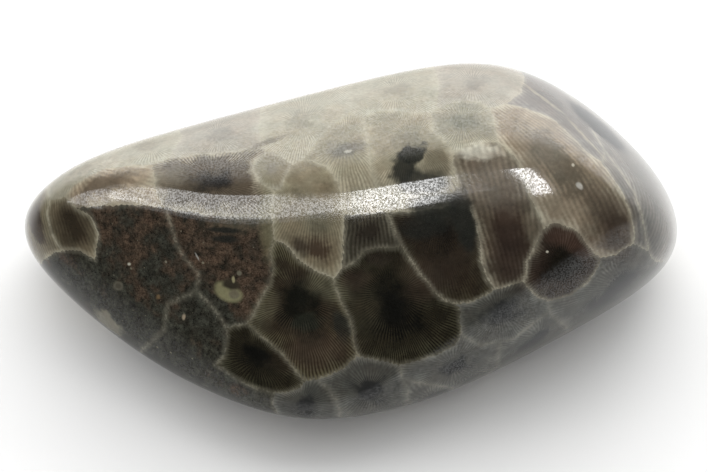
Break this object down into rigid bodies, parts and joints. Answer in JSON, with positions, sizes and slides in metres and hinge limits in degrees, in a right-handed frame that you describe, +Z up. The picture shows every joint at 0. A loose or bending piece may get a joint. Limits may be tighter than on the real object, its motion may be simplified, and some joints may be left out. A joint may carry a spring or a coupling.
{
  "type": "fossil coral stone",
  "caption": "Loose polished pebble of fossil colonial coral, a wedge-shaped stone with honeycomb corallite pattern, resting on its side.",
  "frame": {"origin": "bottom centre of the stone's bounding box, on the surface it rests on", "axes": "+Z up, +X along the stone's length towards its blunt high end, -Y towards the dark steep front"},
  "size_m": [0.0898, 0.0516, 0.0363],
  "materials": {
    "coral_stone": "polished limestone, pale grey to dark brown, with thin light cell walls and fine radiating lines"
  },
  "bodies": {
    "root": {"coral_head": "coral_stone"}
  },
  "joints": []
}
